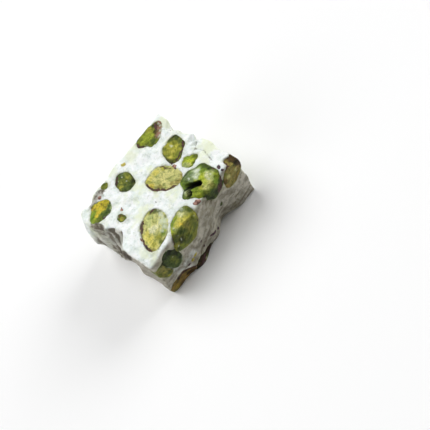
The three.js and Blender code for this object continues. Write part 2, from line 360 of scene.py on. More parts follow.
def swell_of(kernel, away):
    """How much the kernel's outline stands out, in mm, towards the given places around its middle."""
    if "swell" not in kernel:
        return np.zeros(away.shape[:-1])
    axis, sign, first, second = SIDES[kernel["face"]]
    a, b = away[..., first], away[..., second]
    swell = np.array(kernel["swell"])
    turn = np.degrees(np.arctan2(b, a)) % 360 / SWELL_STEP
    share = 0.5 - 0.5 * np.cos(np.pi * (turn % 1))
    here = np.floor(turn).astype(int) % len(swell)
    total = swell[here] + (swell[(here + 1) % len(swell)] - swell[here]) * share
    return total * np.hypot(a, b) / np.maximum(np.linalg.norm(away, axis=-1), 1e-6)


def shell_shape(share, number):
    """How far a place is from the kernel's long axis, and how far its surface is there, as shares."""
    uneven = 1 + KERNEL_UNEVENNESS * np.sin(share @ np.array([3, 2.2, 1.4]) + number * 1.7)
    thick = np.hypot(share[..., 0], share[..., 2]) / uneven
    return thick, np.maximum(1 - share[..., 1] ** 2, 0) ** KERNEL_POINT


def kernel_gap(kernel, number, points):
    """Roughly how far points are from the kernel's own surface in mm; inside it is below zero."""
    half = kernel_halves(kernel)
    away = points - np.array(kernel["at"])
    share = (away @ kernel_axes(kernel).T) / half
    thick, room = shell_shape(share, number)
    beyond = np.maximum(np.abs(share[..., 1]) - 1, 0) * half[1]
    gap = np.hypot((thick - room) * half[0], beyond) * np.where(thick < room, -1, 1)
    return gap - swell_of(kernel, away)


def halve(inside, low, high, rounds):
    """Closes in, between low and high, on where inside(place) stops being true."""
    for _ in range(rounds):
        middle = (low + high) / 2
        here = inside(middle)
        low = np.where(here, middle, low)
        high = np.where(here, high, middle)
    return low


def shell_reach(kernel, number, rays):
    """How far rays run from the kernel's middle to its own surface; rays are in its own directions."""
    half = kernel_halves(kernel)

    def inside(reach):
        thick, room = shell_shape(rays * reach[..., None] / half, number)
        return thick < room

    low = np.zeros(rays.shape[:-1])
    return halve(inside, low, np.full_like(low, half.max() * 1.1), 26)


def face_reach(centre, rays, face, proud):
    """How far rays run from a point in the chunk to one of its faces, or to a level just proud of it."""
    axis, sign, first, second = SIDES[face]

    def inside(reach):
        at = centre + rays * reach[..., None]
        return sign * at[..., axis] < sign * level(face, at[..., first], at[..., second]) + proud

    low = np.zeros(rays.shape[:-1])
    return halve(inside, low, np.full_like(low, FAR), 13)


def soft_min(a, b, blend):
    share = np.clip(0.5 + 0.5 * (b - a) / blend, 0, 1)
    return b + (a - b) * share - blend * share * (1 - share)


def close_faces(centre, distance):
    """The faces of the chunk that lie within the distance of a point."""
    close = []
    for face, (axis, sign, first, second) in SIDES.items():
        if sign * (level(face, centre[first], centre[second]) - centre[axis]) < distance:
            close.append(face)
    return close


def chunk_reach(centre, rays, faces, proud, blend):
    """How far rays run from a point in the chunk until they leave it through one of the faces."""
    reach = np.full(rays.shape[:-1], FAR)
    for face in faces:
        stand = 0 if face == "under" else proud
        reach = soft_min(reach, face_reach(centre, rays, face, stand), blend)
    return reach


def neighbour_reach(centre, rays, others, limit):
    """How far rays run before they come to an earlier kernel."""
    reach = limit.copy()
    for number, other in others:
        if np.linalg.norm(np.array(other["at"]) - centre) > (other["size"][0] + LONGEST_KERNEL) / 2:
            continue

        def clear(share):
            return kernel_gap(other, number, centre + rays * (limit * share)[..., None]) >= NEIGHBOUR_GAP

        low = np.zeros(limit.shape)
        high = np.full(limit.shape, np.inf)
        for step in np.linspace(0.05, 1, 24)[::-1]:
            hit = ~clear(np.full(limit.shape, step))
            high = np.where(hit, step, high)
            low = np.where(hit, step - 0.05, low)
        found = np.isfinite(high)
        low = halve(clear, np.where(found, np.maximum(low, 0), 1), np.where(found, high, 1), 6)
        reach = np.where(found, np.minimum(reach, np.maximum(limit * low, 0.3)), reach)
    return reach


def kernel_form(name, number):
    """The kernel's points, ring by ring from the middle of its cut face to its deepest point, and what
    its looks need: its own directions, the distance from its cut edge, and how far below it they lie."""
    kernel = KERNELS[name]
    centre = np.array(kernel["at"], float)
    axes = kernel_axes(kernel)
    whole = kernel.get("whole", False)
    proud = kernel.get("proud", PROUD if whole else FLUSH)
    blend = kernel.get("blend", 0.9 if whole else 0.15)
    others = list(enumerate(KERNELS.values()))[:number]
    faces = close_faces(centre, max(kernel_halves(kernel)) + 1)

    def shell_of(rays):
        shell = shell_reach(kernel, number, rays) + swell_of(kernel, rays @ axes)
        return shell * (1 + KERNEL_BUMPINESS * lumps(rays * (3, 3, 1.2) + number, 1.3, number))

    turn = np.linspace(0, 2 * math.pi, AROUND, endpoint=False)
    flat = np.stack([np.cos(turn), np.sin(turn), np.zeros(AROUND)], axis=-1)
    outward = np.array([[0.0, 0.0, 1.0]])

    def spokes(tilt):
        """Directions at the given angles from straight out."""
        return outward * np.cos(tilt)[..., None] + flat * np.sin(tilt)[..., None]

    def on_cut(tilt):
        rays = spokes(tilt)
        return face_reach(centre, rays @ axes, kernel["face"], proud) < shell_of(rays)

    steepest = math.radians(100)
    edge_tilt = halve(on_cut, np.zeros(AROUND), np.full(AROUND, steepest), 16)
    edge_tilt = np.clip(edge_tilt, math.radians(55), steepest)
    rays = spokes(edge_tilt)
    edge = rays * np.minimum(shell_of(rays), chunk_reach(centre, rays @ axes, faces, proud, 0.01))[:, None]
    top = outward * min(shell_of(outward)[0], chunk_reach(centre, outward @ axes, faces, proud, 0.01)[0])

    inward = np.linspace(0, 1, ON_CUT + 1)[1:] ** 0.85
    upper = top + (edge - top)[None] * inward[:, None, None]
    angles = edge_tilt + (math.pi - edge_tilt) * (np.arange(1, BELOW)[:, None] / BELOW)
    rays = unit(np.concatenate([top, upper.reshape(-1, 3), spokes(angles).reshape(-1, 3), -outward]))

    span = np.linalg.norm(edge - top, axis=-1)
    rings = np.concatenate([[0], np.repeat(inward, AROUND), np.full(AROUND * (BELOW - 1) + 1, 1.0)])
    spans = np.concatenate([[span.mean()], np.tile(span, ON_CUT + BELOW - 1), [span.mean()]])
    inset = (1 - rings) * spans
    deeper = np.repeat(np.arange(1, BELOW) / BELOW, AROUND)
    below = np.concatenate([np.zeros(1 + ON_CUT * AROUND), deeper, [1]])

    world = rays @ axes
    out_of_chunk = chunk_reach(centre, world, faces, proud, blend)
    reach = neighbour_reach(centre, world, others, soft_min(shell_of(rays), out_of_chunk, blend))
    local = rays * reach[:, None]
    points = centre + world * reach[:, None]
    worn = ROUNDED_RIM * (1 - ramp(inset, 0, 0.7)) * (1 - ramp(below, 0.05, 0.2))
    grain = (WHOLE_GRAIN if whole else CUT_GRAIN) * rough(local, (1.1, 1.9, 1.1), number)
    points = points + (grain * (1 - ramp(below, 0.3, 0.5)) - worn)[:, None] * axes[2]
    if kernel.get("coated"):
        ceiling = level("top", points[:, 0], points[:, 1]) - COAT
        points[:, 2] = np.minimum(points[:, 2], ceiling)
    points[:, 2] = np.maximum(points[:, 2], 0)
    return points, local, world, inset, below


def ring_faces(around, rings, turned=False):
    """Faces between two poles with rings between them; turned ones wind the other way round."""
    faces = []
    last = 1 + rings * around
    for i in range(around):
        j = (i + 1) % around
        faces.append((0, 1 + i, 1 + j))
        for ring in range(rings - 1):
            start = 1 + ring * around
            faces.append((start + i, start + around + i, start + around + j, start + j))
        faces.append((last - around + i, last, last - around + j))
    return [(face[0], *face[:0:-1]) for face in faces] if turned else faces


# ---- materials -----------------------------------------------------------------------


def colour(red, green, blue):
    """A screen colour, 0 to 255, as the linear colour that a shader takes."""
    linear = []
    for value in (red, green, blue):
        value = value / 255
        linear.append(value / 12.92 if value <= 0.04045 else ((value + 0.055) / 1.055) ** 2.4)
    return (*linear, 1.0)


class Shader:
    """A material's node tree, with short calls for the nodes that these materials use."""

    def __init__(self, name):
        self.material = bpy.data.materials.new(name)
        self.material.use_nodes = True
        self.tree = self.material.node_tree
        self.tree.nodes.clear()

    def node(self, kind, settings, inputs):
        made = self.tree.nodes.new(kind)
        for key, value in settings.items():
            setattr(made, key, value)
        for key, value in inputs.items():
            if isinstance(value, bpy.types.NodeSocket):
                self.tree.links.new(value, made.inputs[key])
            else:
                made.inputs[key].default_value = value
        return made

    def mask(self, name):
        return self.node("ShaderNodeAttribute", dict(attribute_name=name), {}).outputs["Fac"]

    def vector(self, name):
        return self.node("ShaderNodeAttribute", dict(attribute_name=name), {}).outputs["Vector"]

    def place_mm(self):
        """The place on the object in mm."""
        coordinates = self.node("ShaderNodeTexCoord", {}, {}).outputs["Object"]
        inputs = {0: coordinates, "Scale": 1 / MM}
        scaled = self.node("ShaderNodeVectorMath", dict(operation="SCALE"), inputs)
        return scaled.outputs[0]

    def noise(self, where, size, detail=3.0, roughness=0.55, stretch=(1, 1, 1)):
        """Noise from 0 to 1 with lumps of about the given size in mm."""
        scale = tuple(1 / (size * s) for s in stretch)
        moved = self.node("ShaderNodeVectorMath", dict(operation="MULTIPLY"), {0: where, 1: scale})
        inputs = {"Vector": moved.outputs[0], "Scale": 1.0, "Detail": detail, "Roughness": roughness}
        return self.node("ShaderNodeTexNoise", {}, inputs).outputs["Fac"]

    def math(self, operation, a, b=0.0):
        return self.node("ShaderNodeMath", dict(operation=operation), {0: a, 1: b}).outputs[0]

    def step(self, value, start, end):
        """A smooth step from 0 at start to 1 at end; it falls where end is below start."""
        low, high = min(start, end), max(start, end)
        to_min, to_max = (0.0, 1.0) if start < end else (1.0, 0.0)
        inputs = {"Value": value, "From Min": low, "From Max": high, "To Min": to_min, "To Max": to_max}
        made = self.node("ShaderNodeMapRange", dict(interpolation_type="SMOOTHSTEP"), inputs)
        return made.outputs["Result"]

    def mix(self, share, first, second):
        made = self.node("ShaderNodeMix", dict(data_type="RGBA"), {0: share, 6: first, 7: second})
        return made.outputs[2]

    def over(self, below, share, strength, above):
        """Lays one tone over another, by a share from 0 to 1 times a strength."""
        return self.mix(self.math("MULTIPLY", share, strength), below, above)

    def nudged(self, mask, noise, strength):
        """A mask that noise pushes up and down."""
        push = self.math("MULTIPLY", self.math("SUBTRACT", noise, 0.5), strength)
        return self.math("ADD", mask, push)

    def scaled(self, tone, factors):
        made = self.node("ShaderNodeVectorMath", dict(operation="MULTIPLY"), {0: tone, 1: factors})
        return made.outputs[0]

    def bump(self, height, distance, strength):
        inputs = {"Height": height, "Distance": distance * MM, "Strength": strength}
        return self.node("ShaderNodeBump", {}, inputs).outputs["Normal"]

    def finish(self, **inputs):
        inputs = {key.replace("_", " "): value for key, value in inputs.items()}
        shader = self.node("ShaderNodeBsdfPrincipled", dict(subsurface_method="RANDOM_WALK"), inputs)
        self.node("ShaderNodeOutputMaterial", {}, {"Surface": shader.outputs["BSDF"]})
        return self.material


def nougat_material():
    s = Shader("nougat_cream")
    where = s.place_mm()
    patches = s.noise(where, 7, 4)
    cloud = s.noise(where, 3.2, 4)
    fine = s.noise(where, 1.1, 4)
    grain = s.noise(where, 0.4, 3)
    mottle = s.noise(where, 2.0, 6, 0.75)
    tone = s.mix(s.step(cloud, 0.38, 0.60), colour(232, 240, 236), colour(250, 254, 253))
    tone = s.over(tone, s.step(mottle, 0.47, 0.68), 0.75, colour(192, 202, 191))
    tone = s.over(tone, s.step(mottle, 0.46, 0.30), 0.8, colour(255, 255, 253))
    tone = s.over(tone, s.step(patches, 0.50, 0.66), 0.75, colour(231, 238, 207))
    # The sides' greyer, warmer tone, laid on by the side mask, is partly the nougat's own colour and partly
    # painted shade.
    side_tone_and_shade = s.mix(s.step(cloud, 0.38, 0.6), colour(143, 135, 113), colour(193, 187, 169))
    side_tone_and_shade = s.over(side_tone_and_shade, s.step(mottle, 0.47, 0.64), 0.8, colour(108, 99, 76))
    tone = s.over(tone, s.mask("side"), 0.9, side_tone_and_shade)
    tone = s.over(tone, s.mask("cream"), 0.7, colour(229, 234, 208))
    near = s.math("MULTIPLY", s.mask("near"), s.step(fine, 0.35, 0.6))
    tone = s.over(tone, near, 0.55, colour(184, 188, 150))
    # Painted shade: grey-brown in the grooves of the torn hollow, on the left side's strip towards the
    # front, and in streaks low on the front.
    torn_and_shade = s.nudged(s.mask("torn_and_shade"), fine, 0.8)
    tone = s.over(tone, s.step(torn_and_shade, 0.3, 0.95), 0.9, colour(112, 103, 86))
    # Brown along the crack, in the brown patches and along the brown lines; in the left hollow and under
    # the split kernel it is painted shade, and the darkest brown is painted shadow.
    brown = s.nudged(s.mask("brown"), mottle, 1.8)
    brown_and_shadow_tone = s.mix(s.step(mottle, 0.4, 0.6), colour(136, 126, 106), colour(76, 63, 43))
    tone = s.over(tone, s.step(brown, 0.3, 1.1), 0.9, brown_and_shadow_tone)
    tone = s.over(tone, s.step(brown, 1.0, 1.6), 0.85, colour(62, 50, 35))
    socket = s.math("MULTIPLY", s.mask("socket"), s.step(cloud, 0.4, 0.55))
    tone = s.over(tone, socket, 0.8, colour(84, 78, 52))
    height = s.math("ADD", s.math("MULTIPLY", fine, 0.7), s.math("MULTIPLY", grain, 0.35))
    return s.finish(
        Base_Color=tone,
        Roughness=0.5,
        Subsurface_Weight=0.4,
        Subsurface_Radius=(1.0, 0.95, 0.85),
        Subsurface_Scale=1.6 * MM,
        Specular_IOR_Level=0.3,
        Normal=s.bump(height, 0.5, 0.8),
    )


def kernel_material():
    """Pistachio: its painted tone with grain and dots on it, nougat film, and ripped purple skin."""
    s = Shader("pistachio_flesh")
    where = s.vector("local")
    broad = s.noise(where, 2.2, 5, 0.65, stretch=(1, 1.8, 1))
    grain = s.noise(where, 1.0, 6, 0.78, stretch=(1, 1.6, 1))
    dots = s.noise(where, 0.8, 4, 0.7)
    tone = s.node("ShaderNodeAttribute", dict(attribute_name="tone"), {}).outputs["Color"]
    crumbs = s.noise(where, 0.55, 3, 0.7)
    for noise, start, end, strength, factors in (
        (broad, 0.48, 0.66, 0.55, (0.50, 0.60, 0.45)),
        (grain, 0.48, 0.62, 0.8, (0.36, 0.44, 0.30)),
        (grain, 0.49, 0.34, 0.7, (1.42, 1.38, 1.45)),
        (crumbs, 0.53, 0.66, 0.45, (0.42, 0.46, 0.42)),
        (crumbs, 0.46, 0.34, 0.6, (1.5, 1.48, 1.35)),
    ):
        tone = s.over(tone, s.step(noise, start, end), strength, s.scaled(tone, factors))
    film = s.nudged(s.mask("film"), s.noise(where, 0.55, 4, 0.75), 2.2)
    tone = s.over(tone, s.step(film, 0.2, 1.2), 0.8, colour(212, 220, 198))
    skin = s.nudged(s.mask("skin"), s.noise(where, 1.1, 4), 1.1)
    skin_tone = s.mix(s.step(dots, 0.4, 0.65), colour(92, 62, 62), colour(50, 34, 34))
    tone = s.over(tone, s.step(skin, 0.42, 0.62), 0.92, skin_tone)
    height = s.math("ADD", s.math("MULTIPLY", grain, 0.6), s.math("MULTIPLY", broad, 0.6))
    return s.finish(
        Base_Color=tone,
        Roughness=0.5,
        Subsurface_Weight=0.1,
        Subsurface_Radius=(1.0, 0.9, 0.4),
        Subsurface_Scale=0.5 * MM,
        Specular_IOR_Level=0.1,
        Normal=s.bump(height, 0.35, 0.8),
    )


def speck_material(name, first, second):
    s = Shader(name)
    where = s.place_mm()
    tone = s.mix(s.step(s.noise(where, 0.9, 3), 0.42, 0.58), colour(*first), colour(*second))
    normal = s.bump(s.noise(where, 0.4, 3), 0.12, 0.5)
    return s.finish(Base_Color=tone, Roughness=0.5, Specular_IOR_Level=0.4, Normal=normal)


# ---- how each kernel looks -----------------------------------------------------------

TONES = {
    "yellow": colour(204, 194, 92),
    "straw": colour(204, 200, 128),
    # A pale tone that also serves as the painted sheen on the kernels' cut faces.
    "haze": colour(216, 216, 172),
    "sun": colour(214, 190, 74),
    "amber": colour(216, 190, 60),
    "ochre": colour(184, 158, 62),
    "tan": colour(164, 138, 78),
    "khaki": colour(150, 138, 74),
    "drab": colour(132, 128, 66),
    "toast": colour(140, 116, 60),
    "olive": colour(162, 160, 62),
    "moss": colour(112, 120, 50),
    "green": colour(146, 158, 52),
    "lime": colour(178, 190, 58),
    "leaf": colour(122, 148, 50),
    "pale": colour(184, 192, 124),
    # A whitish tone, partly nougat film and partly a painted highlight.
    "frost": colour(204, 212, 186),
    "sage": colour(112, 128, 92),
    "deep": colour(72, 88, 42),
    "dark": colour(42, 48, 26),
    "black": colour(14, 15, 9),
    "brown": colour(94, 72, 38),
    "umber": colour(62, 42, 28),
    "rose": colour(150, 106, 98),
}

# Places on a kernel are shares of its half width, to its side, and of its half length, along it.
# A dab is a tone, its place and its radius in mm. Skin runs between two places, with its width.
def painted(**tones):
    """Dabs from places and radii that are grouped by tone."""
    return [(tone, *dab) for tone, dabs in tones.items() for dab in dabs]


LOOKS = {
    "pistachio_top_corner": dict(
        base="green", rim=("deep", 0.35),
        dabs=painted(
            moss=[(-0.65, -0.35, 0.9), (-0.6, 0.1, 1.0), (0.5, -0.55, 0.9)], green=[(-0.65, -0.15, 0.9),
            (-0.3, -0.25, 0.9), (0, -0.05, 1.4)], olive=[(-0.25, 0.3, 1.1)], deep=[(0.75, -0.15, 1.1)],
            umber=[(0.35, 0.35, 0.7), (0.1, 0.7, 0.9), (-0.3, -0.75, 0.8)], dark=[(-0.25, 0.55, 0.7)],
            rose=[(0.45, 0.6, 1.2), (0.1, 0.9, 0.9), (0.85, 0.3, 1.0)]),
        skin=[((-0.05, -0.8), (0.4, -0.65), 0.7), ((-0.3, 0.75), (0.35, 0.45), 0.7),
            ((-0.5, -0.7), (-0.15, -0.8), 0.9)],
        film=[(0.15, 0.8, 0.7), (0.7, 0.5, 0.8), (0.95, 0.25, 0.7), (0.45, 0.75, 0.6)]),
    "pistachio_top_right": dict(
        base="olive", rim=("dark", 0.4),
        dabs=painted(
            olive=[(0, 0.05, 1.2), (-0.25, -0.3, 1.0), (0.1, 0.4, 0.9)], yellow=[(0, -0.15, 0.6),
            (-0.2, -0.5, 0.5)], deep=[(0.15, 0.75, 1.0), (-0.4, 0.6, 0.8), (0.65, 0.5, 1.0)],
            moss=[(-0.85, 0, 0.8), (-0.55, -0.45, 0.8), (0.7, -0.4, 1.1), (0.9, 0.1, 0.8)],
            dark=[(0.95, 0.35, 0.6), (-0.1, -0.85, 0.9), (0.4, -0.75, 0.6)]),
        skin=[((0.9, 0.5), (0.95, -0.05), 0.7), ((0.95, -0.05), (0.45, -0.8), 0.6)],
        film=[(-0.2, 0.2, 0.6), (-0.7, 0.4, 0.5)]),
    "pistachio_top_sliver": dict(
        base="green", rim=("moss", 0.3),
        dabs=painted(
            pale=[(0.35, -0.6, 0.9)], lime=[(0.3, 0.05, 1.1)], moss=[(0.4, 0.85, 0.8)],
            leaf=[(-0.5, 0.15, 0.7)], straw=[(0.75, -0.3, 0.6)])),
    "pistachio_top_middle": dict(
        base="straw", rim=("khaki", 0.35),
        dabs=painted(
            yellow=[(-0.1, -0.75, 1.1), (-0.55, -0.4, 0.9)], sun=[(0.4, -0.55, 0.8)],
            straw=[(0, -0.25, 1.5), (0.4, 0.15, 1.4), (-0.15, 0.1, 1.4), (-0.4, 0.35, 1.1),
            (0, 0.65, 1.1)], pale=[(-0.3, -0.3, 0.7)], olive=[(-0.85, 0, 0.8)], khaki=[(0.3, 0.8, 0.9),
            (0.6, -0.15, 0.9), (0.45, 0.45, 0.8), (-0.1, 0.95, 0.7)], brown=[(0.55, -0.65, 0.8)]),
        skin=[((0.3, -0.8), (0.7, -0.55), 1.2), ((0.75, -0.55), (0.9, 0.15), 1.1),
            ((0.9, 0.2), (0.65, 0.65), 0.8), ((-1.05, -0.2), (-0.7, 0.45), 0.4)]),
    "pistachio_top_round": dict(
        base="moss", rim=("dark", 0.5),
        dabs=painted(
            deep=[(-0.2, 0.45, 1.1), (0.1, -0.8, 1.1), (-0.15, -0.35, 0.5), (0.2, -0.45, 0.5),
            (0.15, 0.15, 0.4), (-0.3, -0.75, 0.9)], moss=[(0, -0.15, 1.3), (0.45, -0.25, 0.5)],
            olive=[(0.35, 0, 0.5), (-0.15, -0.1, 0.4), (-0.45, -0.35, 0.5)], dark=[(-0.65, 0.15, 0.7),
            (0.55, -0.4, 0.6)], sage=[(0.05, 0.55, 0.5)]),
        skin=[((-0.4, 0.5), (-0.8, -0.05), 0.7)],
        film=[(0, 0.3, 0.4), (0.2, -0.2, 0.35), (-0.4, 0.2, 0.3)]),
    # The split kernel: the whitish dabs on its upper lobe are a painted highlight, and the black and most
    # dark dabs on its side towards the front are painted shade where it turns down over the edge.
    "pistachio_top_split": dict(
        base="leaf", rim=("dark", 0.5),
        dabs=painted(
            sage=[(0.75, 0.4, 1.2), (0.45, 0.35, 0.6), (0.05, 0.85, 0.9)], deep=[(0.55, 0.55, 0.8),
            (0.75, -0.5, 1.0), (0.45, -0.6, 0.7), (-0.6, -0.2, 1.0)], frost=[(0.7, -0.05, 1.1),
            (0.55, 0.1, 0.9)], lime=[(0.3, 0.2, 0.6), (0.35, -0.15, 1.1), (0, -0.15, 1.0)],
            leaf=[(0.55, -0.3, 0.9), (-0.25, -0.6, 0.9), (-0.25, 1, 0.9)], haze=[(0.25, -0.35, 0.9)],
            pale=[(0.3, -0.6, 0.9), (0.05, -0.45, 0.9), (0.05, 0.75, 0.6), (-0.1, 0.8, 1.0)],
            green=[(0, -0.7, 0.9), (-0.25, 0.45, 1.1), (-0.45, 0.35, 1.0)], straw=[(-0.05, -0.25, 1.0),
            (-0.05, 0, 0.7), (-0.3, -0.05, 0.8)], drab=[(-0.3, -0.3, 0.8)], moss=[(-0.45, -0.4, 0.9),
            (-0.5, 0, 0.9)], olive=[(-0.15, 0.1, 1.0)], black=[(-0.7, -0.35, 0.8), (-0.8, -0.1, 0.8)],
            dark=[(-0.7, 0.1, 0.9), (-0.3, -0.75, 0.8), (-0.6, -0.6, 0.8)], umber=[(-0.45, 0.7, 0.5)]),
        skin=[((0.6, -0.7), (0.3, -0.8), 0.5), ((0.15, -0.95), (-0.4, -0.75), 0.7),
            ((-0.4, -0.75), (-0.7, -0.5), 0.8)],
        film=[(0.7, -0.1, 1.2), (0.5, 0.1, 0.8), (0.6, 0.4, 0.6),
              (0.2, -0.55, 0.6), (0.05, -0.35, 0.6), (0.05, 0.85, 0.8), (-0.05, 0.7, 0.5)]),
    # The kernel at the front of the top: the hazy dabs in its middle are a painted sheen.
    "pistachio_top_front": dict(
        base="straw", rim=("moss", 0.35),
        dabs=painted(
            deep=[(0, 0.85, 0.9), (0.35, 0.8, 0.8)], moss=[(-0.35, 0.8, 0.7), (0.55, -0.6, 0.7),
            (0.8, 0.55, 0.6)], pale=[(-0.35, 0.55, 1.1), (-0.35, 0.25, 0.9), (0.65, 0.35, 1.0),
            (0.8, 0.1, 0.8)], straw=[(0.05, 0.3, 1.1), (0.35, -0.15, 0.9)], haze=[(-0.1, -0.05, 1.2),
            (0.15, 0.1, 0.9)], yellow=[(-0.25, -0.45, 1.2), (0.05, -0.7, 1.1), (-0.45, -0.2, 0.9)],
            olive=[(0.4, -0.4, 0.9)], leaf=[(0.7, -0.2, 0.8)], khaki=[(0, -0.95, 0.7)]),
        skin=[((-0.9, 0.4), (-0.9, -0.1), 1.2), ((-0.85, -0.3), (-0.6, -0.7), 0.8),
            ((-0.6, -0.7), (-0.1, -1), 1.1), ((-0.35, 0.8), (0, 1), 0.5)],
        film=[(0.65, 0.35, 2.1), (0.8, 0.05, 1.7), (0.45, 0.65, 1.4),
              (-0.3, 0.95, 0.9), (0.2, 0.9, 0.9), (0.6, -0.15, 1.0)]),
    # The kernel on the front edge: its light tones on the top face and its dark tones on the front are
    # partly its own and partly painted light and shade across the edge.
    "pistachio_edge_front": dict(
        base="olive", rim=("deep", 0.4),
        dabs=painted(
            sage=[(-0.35, 0.85, 1.0)], moss=[(-0.1, 0.9, 0.8), (0.3, 0.4, 1.0), (0.65, 0.45, 0.9),
            (0.7, 0.2, 0.9), (0.1, -0.3, 0.8), (0.35, -0.45, 0.9), (0.35, 0.15, 0.7), (0.3, -0.25, 0.8),
            (0.1, -0.7, 0.7)], deep=[(0.1, 0.8, 0.7), (-0.65, 0.55, 0.7), (-0.45, -0.15, 1.1),
            (-0.6, -0.5, 0.9), (-0.1, -0.85, 0.8), (0.45, -0.3, 0.8), (0.55, -0.05, 0.7),
            (-0.2, -0.15, 1.0), (-0.05, -0.05, 0.7), (0.05, -0.55, 0.8), (0.65, 0.25, 0.7),
            (0.3, -0.5, 0.8)], leaf=[(-0.85, 0.35, 0.9), (-0.95, 0.1, 0.8)], lime=[(-0.9, -0.15, 0.7),
            (-0.65, 0.5, 0.7)], green=[(-0.75, 0.5, 0.8), (0.05, -0.7, 0.8), (0.5, -0.15, 0.6)],
            haze=[(-0.45, 0.55, 0.8)], straw=[(-0.15, 0.65, 0.7)], yellow=[(-0.6, 0.3, 0.8),
            (-0.35, 0.4, 0.8), (-0.7, 0.1, 0.7)], sun=[(-0.5, 0.2, 0.5)], pale=[(-0.8, -0.05, 0.6)],
            olive=[(-0.1, 0.5, 0.9), (0.55, -0.05, 0.8)], drab=[(0, 0.2, 1.0), (0.35, -0.05, 1.0)],
            dark=[(-0.65, -0.3, 0.7), (-0.25, -0.5, 0.9), (-0.15, -0.85, 0.8), (0.35, -0.45, 0.7),
            (-0.1, -0.4, 0.9)], umber=[(-0.8, -0.55, 0.6)]),
        skin=[((0.55, 0.7), (0.85, 0.4), 0.5), ((-0.85, -0.45), (-0.65, -0.7), 0.7)],
        film=[(-0.35, 0.85, 0.7), (-0.8, 0, 0.4), (-0.55, -0.3, 0.4),
              (-0.25, -0.45, 0.45), (-0.3, -0.7, 0.35), (0.4, 0.6, 0.4)]),
    "pistachio_top_left": dict(
        base="leaf", rim=("moss", 0.1),
        dabs=painted(
            amber=[(-0.35, 0.8, 0.6), (-0.6, 0.55, 0.6), (-0.8, 0.3, 0.6), (0.15, 0.85, 0.7),
            (-0.05, 0.65, 0.7), (-0.25, 0.4, 0.7), (-0.55, 0.2, 0.7), (0.05, 0.2, 0.7),
            (-0.1, -0.05, 0.7), (-0.1, -0.35, 0.6)], ochre=[(-1, 0, 0.5), (-0.75, 0, 0.6),
            (0.15, 0.45, 0.5)], brown=[(-1.05, 0.05, 0.5), (-0.3, 0.55, 0.4)], leaf=[(-0.65, -0.45, 0.8),
            (-0.35, -0.8, 0.8)], green=[(-0.05, -0.7, 0.8), (-0.75, -0.2, 0.6)], moss=[(0.3, -0.6, 0.8),
            (0.3, -0.3, 0.6)], deep=[(0.45, 0.6, 0.6), (0.5, 0.25, 0.7), (0.5, -0.05, 0.8)],
            dark=[(0.65, 0.3, 0.5), (0.5, 0.85, 0.4), (0.6, -0.3, 0.5), (0.7, -0.1, 0.4)]),
        skin=[((0.65, -0.4), (0.8, 0.05), 0.6)],
        film=[(0.75, -0.25, 0.8), (0.8, 0.1, 0.5)]),
    "pistachio_top_chip": dict(
        base="moss", rim=("deep", 0.3),
        dabs=painted(
            brown=[(-0.2, -0.25, 0.4), (-0.55, 0.25, 0.35)], olive=[(0.35, 0.25, 0.5)],
            deep=[(-0.55, 0.6, 0.5)]),
        film=[(0.1, -0.6, 0.5)]),
    "pistachio_front_corner": dict(
        base="khaki", rim=("brown", 0.3),
        dabs=painted(
            umber=[(0.2, 0.7, 1.2), (0.5, 0.45, 0.8), (-0.15, 0.75, 0.7)], black=[(0.4, 0.75, 1.5),
            (-0.05, 0.7, 1.2), (0, 0.8, 0.8)], drab=[(-0.4, 0.6, 0.6), (-0.15, 0.45, 0.6)],
            khaki=[(-0.45, 0.55, 0.8), (0.2, 0.1, 0.9), (-0.5, 0.1, 1.0), (0.05, -0.55, 0.9)],
            yellow=[(-0.4, 0.55, 0.6)], pale=[(0.35, 0.1, 0.5)], tan=[(0.6, 0.15, 0.7), (0.6, -0.4, 0.9)],
            straw=[(-0.55, -0.2, 0.6)], brown=[(-0.95, 0.3, 0.6), (-0.8, -0.45, 0.7), (0.95, 0.2, 0.6)],
            moss=[(-0.95, -0.05, 0.7)], toast=[(-0.4, -0.85, 0.8), (0.75, -0.7, 0.7)]),
        skin=[((0.3, 0.8), (1.05, 0.15), 0.6), ((-0.6, 0.55), (-0.95, 0.3), 0.5)],
        film=[(0.45, 0, 0.3)]),
    "pistachio_front_upper": dict(
        base="deep", rim=("dark", 0.6),
        dabs=painted(
            black=[(0.35, 0.5, 1.0)], dark=[(0.6, 0.05, 1.0), (-0.4, 0.55, 0.8), (0.55, -0.45, 0.7)],
            moss=[(0, -0.05, 1.1), (0.05, -0.45, 0.9)], deep=[(-0.55, -0.15, 1.0), (-0.5, 0.1, 0.7)]),
        film=[(0.15, 0.05, 0.35)]),
    "pistachio_front_left": dict(
        base="drab", rim=("moss", 0.4),
        dabs=painted(
            black=[(-0.2, 0.6, 0.5), (0.25, 0.5, 0.6)], moss=[(-0.45, 0.55, 0.8), (-0.95, -0.05, 0.8)],
            drab=[(-0.25, 0.05, 0.8)], deep=[(0.3, -0.05, 0.7), (0, -0.65, 0.8)],
            olive=[(-0.5, -0.8, 0.7), (-0.4, -0.3, 0.4)])),
    "pistachio_front_foot": dict(
        base="toast", rim=("brown", 0.4),
        dabs=painted(
            toast=[(0, -0.25, 1.0)], tan=[(0.25, 0.15, 0.9)], ochre=[(0.1, -0.55, 0.7)],
            umber=[(0.1, 0.35, 0.7), (0.15, 0.6, 0.9)], brown=[(0.65, -0.2, 0.9)],
            dark=[(-0.6, -0.25, 0.7)], black=[(-0.75, 0.3, 0.8), (-0.6, 0.65, 0.7)],
            rose=[(-0.35, 0.85, 0.6)], drab=[(0.45, -0.75, 0.8)]),
        skin=[((-0.65, -0.3), (-0.85, 0.35), 0.9), ((-0.85, 0.35), (-0.3, 0.85), 1.1)]),
    "pistachio_front_rim": dict(
        base="umber", rim=("dark", 0.5),
        dabs=painted(
            umber=[(-0.05, -0.35, 1.2)], brown=[(-0.6, -0.75, 0.6)], dark=[(0, -0.95, 0.8),
